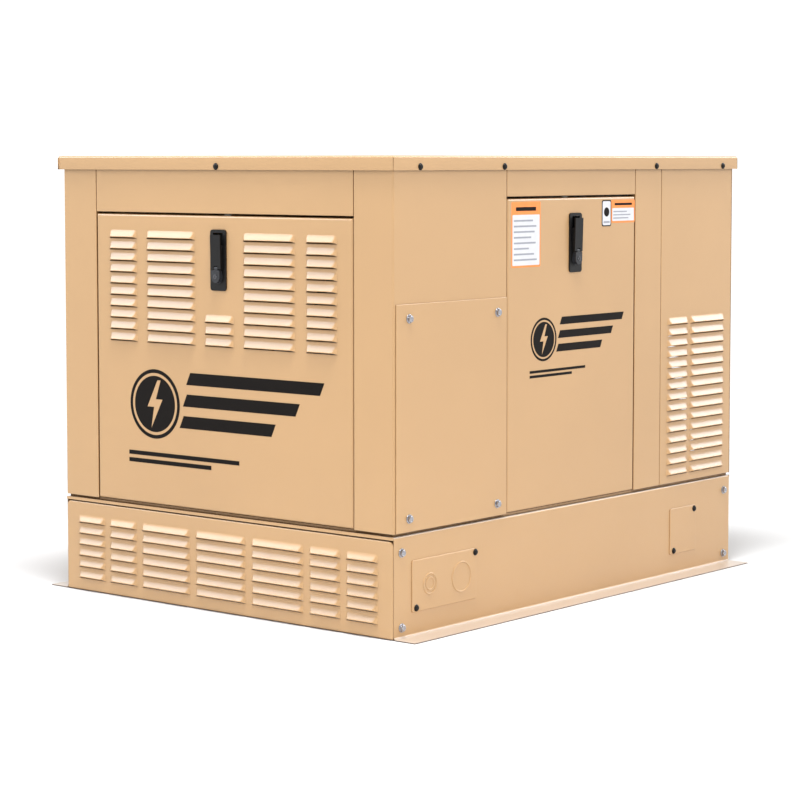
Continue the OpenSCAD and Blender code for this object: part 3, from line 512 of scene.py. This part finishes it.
def prism(outline, w0, w1, round_=0.0, n=3):
    """A closed plate from a 2-D outline (counter-clockwise), its front edge rounded."""
    rings = [[(x, y, w0) for x, y in outline]]
    if round_:
        cx = sum(p[0] for p in outline) / len(outline)
        cy = sum(p[1] for p in outline) / len(outline)
        m = len(outline)
        norms = []
        for i in range(m):
            a, b, c = Vector(outline[i - 1]), Vector(outline[i]), Vector(outline[(i + 1) % m])
            e1, e2 = (b - a), (c - b)
            n1, n2 = Vector((e1.y, -e1.x)).normalized(), Vector((e2.y, -e2.x)).normalized()
            nn = (n1 + n2)
            norms.append(nn / max(nn.length_squared / 2, 0.3))
        for k in range(n + 1):
            a = math.pi / 2 * k / n
            off, z = round_ * (1 - math.cos(a)), w1 - round_ + round_ * math.sin(a)
            rings.append([(outline[i][0] - norms[i].x * off, outline[i][1] - norms[i].y * off, z) for i in range(m)])
        rings.append([(outline[i][0] - norms[i].x * (round_ + 1.0), outline[i][1] - norms[i].y * (round_ + 1.0), w1) for i in range(m)])
    else:
        rings.append([(x, y, w1) for x, y in outline])
    m = len(outline)
    verts = [p for r in rings for p in r]
    faces = []
    for k in range(len(rings) - 1):
        for i in range(m):
            j = (i + 1) % m
            faces.append([k * m + i, k * m + j, (k + 1) * m + j, (k + 1) * m + i])
    faces.append(list(range(m))[::-1])
    faces.append([(len(rings) - 1) * m + i for i in range(m)])
    return verts, faces


def rrect(cx, cy, w, h, r, n=6):
    out = []
    for sx, sy, a0 in ((1, 1, 0), (-1, 1, 90), (-1, -1, 180), (1, -1, 270)):
        for i in range(n + 1):
            a = math.radians(a0 + 90 * i / n)
            out.append((cx + sx * (w / 2 - r) + r * math.cos(a), cy + sy * (h / 2 - r) + r * math.sin(a)))
    return out


def mm(node):
    lo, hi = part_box(node)
    return [x * 1000 for x in lo], [x * 1000 for x in hi]


# ------------------------------------------------------------------ louvred and plain panels
PITCH = 24.4
def cols(spec, y0):
    return [(x, x + l, y0 - r * PITCH) for x, l, a, b in spec for r in range(a, b + 1)]


DOOR = cols([(-324, 84, 0, 9), (-212, 144, 0, 9), (-42, 84, 7, 9), (68, 144, 0, 9), (240, 84, 0, 9)], 774.5)
BASE = cols([(-429, 84, 0, 5), (-331, 84, 0, 5), (-232, 144, 0, 5), (-72, 144, 0, 5), (88, 144, 0, 5), (247, 84, 0, 5), (345, 84, 0, 5)], 149)
SIDE = cols([(348, 84, 0, 14), (441, 144, 0, 14)], 569)
LEFT = cols([(-432, 84, 0, 14), (-585, 144, 0, 14)], 569)
REAR = cols([(-400, 144, 0, 13), (-240, 144, 0, 13), (-80, 144, 0, 13)], 569)

lo, hi = mm("front_door_panel")
latch = {"front": (0.0, 672.0), "right": (-12.0, 703.0)}
hole = lambda cu, cv: (lambda u, v: abs(u - cu) < 15.9 and cv + 8 < v < cv + 121)
folded_sheet("front_door_skin", "front", lo[0], hi[0], lo[2], hi[2], 0, DOOR, "front_door", "tan_paint", ["front_door_panel"], depth=22, r=5.5,
             skip=hole(0, 672), breaks_u=(-16, 16), breaks_v=(680, 793), thick=1.5)
lo, hi = mm("side_door_panel")
folded_sheet("side_door_skin", "right", lo[1], hi[1], lo[2], hi[2], 0, [], "side_door", "tan_paint", ["side_door_panel"], depth=22, r=5.5,
             skip=hole(-12, 703), breaks_u=(-28, 4), breaks_v=(711, 824), thick=1.5)
lo, hi = mm("base_front_panel")
folded_sheet("base_front_skin", "front", lo[0], hi[0], lo[2], hi[2], 0, BASE, "housing", "tan_paint", ["base_front_panel"], depth=24, r=3.0, corner=10,
             skip="round_top")
folded_sheet("base_rear_skin", "rear", lo[0], hi[0], lo[2], hi[2], 0, BASE, "housing", "tan_paint", ["base_rear_panel"], depth=24, r=3.0, corner=10,
             skip="round_top")
lo, hi = mm("right_rear_panel")
folded_sheet("right_rear_skin", "right", lo[1], hi[1], lo[2], hi[2], 0, SIDE, "housing", "tan_paint", ["right_rear_panel"], depth=20, r=1.6)
lo, hi = mm("left_side_panel")
folded_sheet("left_side_skin", "left", -hi[1], -lo[1], lo[2], hi[2], 0, LEFT, "housing", "tan_paint", ["left_side_panel"], depth=20, r=1.6)
lo, hi = mm("rear_panel")
exh = lambda u, v: (u - 250) ** 2 + (v - 640) ** 2 < 31 ** 2
folded_sheet("rear_skin", "rear", lo[0], hi[0], lo[2], hi[2], 0, REAR, "housing", "tan_paint", ["rear_panel"], depth=1.6, r=1.4, skip=exh,
             breaks_u=[250 + k * 4 for k in range(-10, 11)], breaks_v=[640 + k * 4 for k in range(-10, 11)])
lo, hi = mm("front_header")
folded_sheet("front_header_skin", "front", lo[0], hi[0], lo[2], hi[2], 0, [], "housing", "tan_paint", ["front_header"], depth=20, r=1.8)
lo, hi = mm("right_header")
folded_sheet("right_header_skin", "right", lo[1], hi[1], lo[2], hi[2], 0, [], "housing", "tan_paint", ["right_header"], depth=20, r=1.8)
lo, hi = mm("right_post")
folded_sheet("right_post_skin", "right", lo[1], hi[1], lo[2], hi[2], 0, [], "housing", "tan_paint", ["right_post"], depth=20, r=1.6)
lo, hi = mm("side_cover_plate")
folded_sheet("side_cover_skin", "right", lo[1], hi[1], lo[2], hi[2], 2.2, [], "housing", "tan_paint", ["side_cover_plate"], depth=2.2, r=1.2, thick=1.2)
lo, hi = mm("roof")
folded_sheet("roof_skin", "top", lo[0], hi[0], lo[1], hi[1], hi[2], [], "housing", "tan_paint", ["roof"], depth=hi[2] - lo[2], r=4.5, thick=2.0, seam=0.8)
# corner posts, folded from one sheet round the corner
lo, hi = mm("front_corner_right")
x0, y1 = lo[0], hi[1]
H, L = HW * 1000, HL * 1000
strip("front_corner_right_skin", [(x0, -L + 24), (x0, -L), (H, -L), (H, y1), (H - 23, y1)], [1.6, 4.0, 1.6], "xy", lo[2], hi[2], "housing", "tan_paint", ["front_corner_right"])
lo, hi = mm("front_corner_left")
strip("front_corner_left_skin", [(-x0, -L + 24), (-x0, -L), (-H, -L), (-H, hi[1]), (-H + 23, hi[1])], [1.6, 4.0, 1.6], "xy", lo[2], hi[2], "housing", "tan_paint", ["front_corner_left"], flip=True)
# base rails: flange, web and top fold
lo, hi = mm("base_rail_right")
for s, node in ((1, "base_rail_right"), (-1, "base_rail_left")):
    rail = strip(node + "_skin", [(s * hi[0], 2.0), (s * H, 2.0), (s * H, hi[2]), (s * (H - 30), hi[2])], [5.0, 4.2], "xz", lo[1], hi[1], "housing", "tan_paint", [node], flip=(s > 0))
    # the rail skins take tan_rail, with its painted pale highlight on upward faces and painted shade in creases
    rail.data.materials.clear()
    rail.data.materials.append(MAT["tan_rail"].m)

# ------------------------------------------------------------------ fasteners
bolts = []
for y, z in ((-592, 171), (-592, 22), (592, 171), (592, 22)):
    for face in ("right", "left"):
        v, f = hex_head(turn=0.37 * (y + z))
        bolts.append((v, f, face, y if face == "right" else -y, z, 0.0))
for y, z in ((-571, 631), (-285, 630), (-571, 236), (-285, 235)):
    v, f = hex_head(turn=0.29 * (y + z))
    bolts.append((v, f, "right", y, z, 2.2))
place(bolts, "hex_bolts_detail", "housing", "zinc_fastener", ["hex_bolts"])
screws = []
v, f = screw_head()
for y, z in ((-359, 144), (-549, 56), (462, 142), (378, 54)):
    screws.append((v, f, "right", y, z, 2.4))
zs = mm("roof")[0][2] + 7
for y in (-544, -271, 288, 563):
    screws.append((v, f, "right", y, zs, 8.0))
    screws.append((v, f, "left", -y, zs, 8.0))
screws.append((v, f, "front", 0, zs, 8.0))
screws.append((v, f, "rear", 0, zs, 8.0))
place(screws, "black_screws_detail", "housing", "black_fastener", ["black_screws"])

# ------------------------------------------------------------------ cover plates with pressed knockout rings
def ring_ridge(cx, cy, r, w, h=1.8, half=2.3, n=64):
    verts, faces = [], []
    prof = [(-half, -0.25), (-half * 0.7, h * 0.45), (-half * 0.3, h * 0.92), (half * 0.3, h * 0.92), (half * 0.7, h * 0.45), (half, -0.25)]
    for d, z in prof:
        for i in range(n):
            a = 2 * math.pi * i / n
            verts.append((cx + (r + d) * math.cos(a), cy + (r + d) * math.sin(a), w + z))
    m = len(prof)
    for k in range(m):
        for i in range(n):
            j, q = (i + 1) % n, (k + 1) % m
            faces.append([k * n + i, k * n + j, q * n + j, q * n + i][::-1])
    return verts, faces


def cover(name, node, y0, y1, z0, z1, rings):
    parts = []
    v, f = prism(rrect((y0 + y1) / 2, (z0 + z1) / 2, y1 - y0, z1 - z0, 4.0, 4), 0.0, 2.4, 1.6, 4)
    parts.append((v, f, "right", 0, 0, 0.05))
    for cy, cz, r in rings:
        v, f = ring_ridge(cy, cz, r, 2.4)
        parts.append((v, f, "right", 0, 0, 0.05))
    place(parts, name, "housing", "tan_paint", [node], sharp=50)


cover("conduit_cover", "conduit_plate", -562, -355, 48, 152, [(-506, 99.5, 20.4), (-506, 99.5, 12.4), (-404, 99.5, 30.2)])
cover("fuel_cover", "fuel_plate", 363, 470, 46, 151, [])

# ------------------------------------------------------------------ plain markings: no lettering
FILM = 0.22


def film(name, shapes, face, body, mat, w=0.0):
    parts = []
    for out in shapes:
        v, f = prism(out, w - 0.05, w + FILM)
        parts.append((v, f, face, 0, 0, 0))
    return place(parts, name, body, mat)


def circle(cx, cy, r, n=64):
    return [(cx + r * math.cos(2 * math.pi * i / n), cy + r * math.sin(2 * math.pi * i / n)) for i in range(n)]


def slab(x0, y0, x1, y1, slant=0.0, r=0.0):
    if r:
        return rrect((x0 + x1) / 2, (y0 + y1) / 2, x1 - x0, y1 - y0, r, 5)
    return [(x0, y0), (x1, y0), (x1 + slant, y1), (x0 + slant, y1)]


BOLT = [(0.16, 0.98), (-0.42, -0.12), (-0.04, -0.12), (-0.20, -0.98), (0.44, 0.20), (0.06, 0.20), (0.34, 0.98)]


def badge(tag, face, body, cx, cy, k):
    q = lambda pts: [(cx + k * x, cy + k * y) for x, y in pts]
    film(tag + "_badge_black", [q(circle(-205, 0, 74)), q(slab(-112, 46, 262, 72, 12)), q(slab(-122, 0, 196, 26, 12)), q(slab(-132, -46, 130, -20, 12)),
                                q(slab(-284, -112, 40, -103)), q(slab(-284, -128, -40, -119))], face, body, "print_black")
    film(tag + "_badge_ring", [q(circle(-205, 0, 66))], face, body, "tan_paint", w=0.12)
    film(tag + "_badge_disc", [q(circle(-205, 0, 60))], face, body, "print_black", w=0.24)
    film(tag + "_badge_bolt", [[(cx + k * (-205 + 52 * x), cy + k * 52 * y) for x, y in BOLT][::-1]], face, body, "tan_paint", w=0.36)


badge("front", "front", "front_door", 15, 425, 1.0)
badge("side", "right", "side_door", 4, 565, 0.62)


def label(tag, u0, v0, u1, v1, band, cols=1):
    film(tag + "_edge", [slab(u0, v0, u1, v1, r=3)], "right", "side_door", "print_orange")
    film(tag + "_field", [slab(u0 + 3.5, v0 + 4, u1 - 3.5, v1 - band, r=2)], "right", "side_door", "print_white", w=0.12)


label("tall_label", -237, 719, -136, 855, 27)
label("wide_label", 124, 805, 214, 855, 18)
film("square_label_edge", [slab(88, 798, 123, 855, r=5)], "right", "side_door", "print_black", w=0.12)
film("square_label_field", [slab(90.5, 800.5, 120.5, 852.5, r=4)], "right", "side_door", "print_white", w=0.24)
film("square_label_mark", [circle(105.5, 829, 10)], "right", "side_door", "print_black", w=0.36)
film("square_label_bar", [slab(94, 805, 117, 809.5)], "right", "side_door", "print_grey", w=0.36)
rows = []
for i in range(8):
    y = 814 - i * 11.6
    rows.append(slab(-229, y, -229 + (66, 78, 72, 60, 76, 52, 70, 80)[i], y + 3.6))
film("tall_label_rows", rows, "right", "side_door", "print_grey", w=0.24)
film("tall_label_band", [slab(-222, 836, -152, 844, r=2)], "right", "side_door", "print_black", w=0.12)
film("wide_label_rows", [slab(131, 828 - i * 7, 131 + (52, 66, 58)[i], 830.6 - i * 7) for i in range(3)], "right", "side_door", "print_grey", w=0.24)
film("wide_label_band", [slab(136, 843, 203, 848, r=1.5)], "right", "side_door", "print_black", w=0.12)

# ------------------------------------------------------------------ CAD nodes that stay: finish and softened edges
def dress(node, bevel=0.8, angle=38):
    ob = NODES[node]
    ob.data.materials.clear()
    ob.data.materials.append(MAT[SLOT[node]].m)
    w = ob.modifiers.new("weld", "WELD")
    w.merge_threshold = 2e-6
    if bevel:
        b = ob.modifiers.new("edge", "BEVEL")
        b.width, b.segments, b.limit_method, b.angle_limit = bevel / 1000, 2, "ANGLE", math.radians(angle)
    n = ob.modifiers.new("normals", "WEIGHTED_NORMAL")
    n.keep_sharp = False


for node, ob in NODES.items():
    # base_deck takes tan_deck and its painted shade under the doors
    if node == "base_deck":
        ob.data.materials.clear()
        ob.data.materials.append(MAT["tan_deck"].m)
    elif not ob.hide_render:
        dress(node, {"fuel_hose": 0, "exhaust_pipes": 0, "base_deck": 0.5, "conduit_plate": 0.4, "fuel_plate": 0.5}.get(node, 0.8))

# ------------------------------------------------------------------ floor and light
fm = Mat("floor")
fm.set(Base_Color=fm.mix(fm.noise(1.3, 3), (0.71, 0.71, 0.71, 1), (0.73, 0.73, 0.73, 1)), Roughness=0.75, Specular_IOR_Level=0.15)
me = bpy.data.meshes.new("floor")
me.from_pydata([(2.6 * math.cos(math.pi * i / 48), 2.6 * math.sin(math.pi * i / 48), -0.0005) for i in range(96)], [], [list(range(96))])
floor = bpy.data.objects.new("floor", me)
SC.collection.objects.link(floor)
me.materials.append(fm.m)
world = bpy.data.worlds.new("world")
SC.world = world
world.use_nodes = True
wt = world.node_tree
bg = wt.nodes["Background"]
wc, ws, wr = wt.nodes.new("ShaderNodeTexCoord"), wt.nodes.new("ShaderNodeSeparateXYZ"), wt.nodes.new("ShaderNodeMapRange")
wt.links.new(wc.outputs["Generated"], ws.inputs[0])
wt.links.new(ws.outputs["Z"], wr.inputs["Value"])
for k, v in (("From Min", 0.24), ("From Max", 0.60), ("To Min", 1.12), ("To Max", 0.42)):
    wr.inputs[k].default_value = v
wt.links.new(wr.outputs[0], bg.inputs[1])
bg.inputs[0].default_value = (1.0, 1.0, 1.0, 1)


def area(name, loc, target, size, power, color=(1, 1, 1), size_y=None):
    l = bpy.data.lights.new(name, "AREA")
    l.shape, l.size, l.size_y, l.energy, l.color = "RECTANGLE", size, size_y or size, power, color
    o = bpy.data.objects.new(name, l)
    SC.collection.objects.link(o)
    o.location = loc
    o.rotation_mode = "QUATERNION"
    o.rotation_quaternion = (Vector(target) - Vector(loc)).to_track_quat("-Z", "Y")
    o.visible_camera = False
    return o


area("overhead", (0.95, -1.15, 5.0), (0, 0, 0.5), 1.5, 260, (1.0, 1.0, 1.0))
area("left_box", (-5.2, -3.6, 4.55), (0, -0.6, 0.4), 3.4, 280, (0.84, 0.91, 1.0), 3.7)
area("right_box", (3.5, 6.6, 4.5), (0.47, 0.45, 0.4), 3.4, 275, (0.86, 0.93, 1.0))
area("front_fill", (5.3, -4.0, 2.4), (0, 0, 0.5), 3.0, 118, (1.0, 0.99, 0.97)).visible_glossy = False
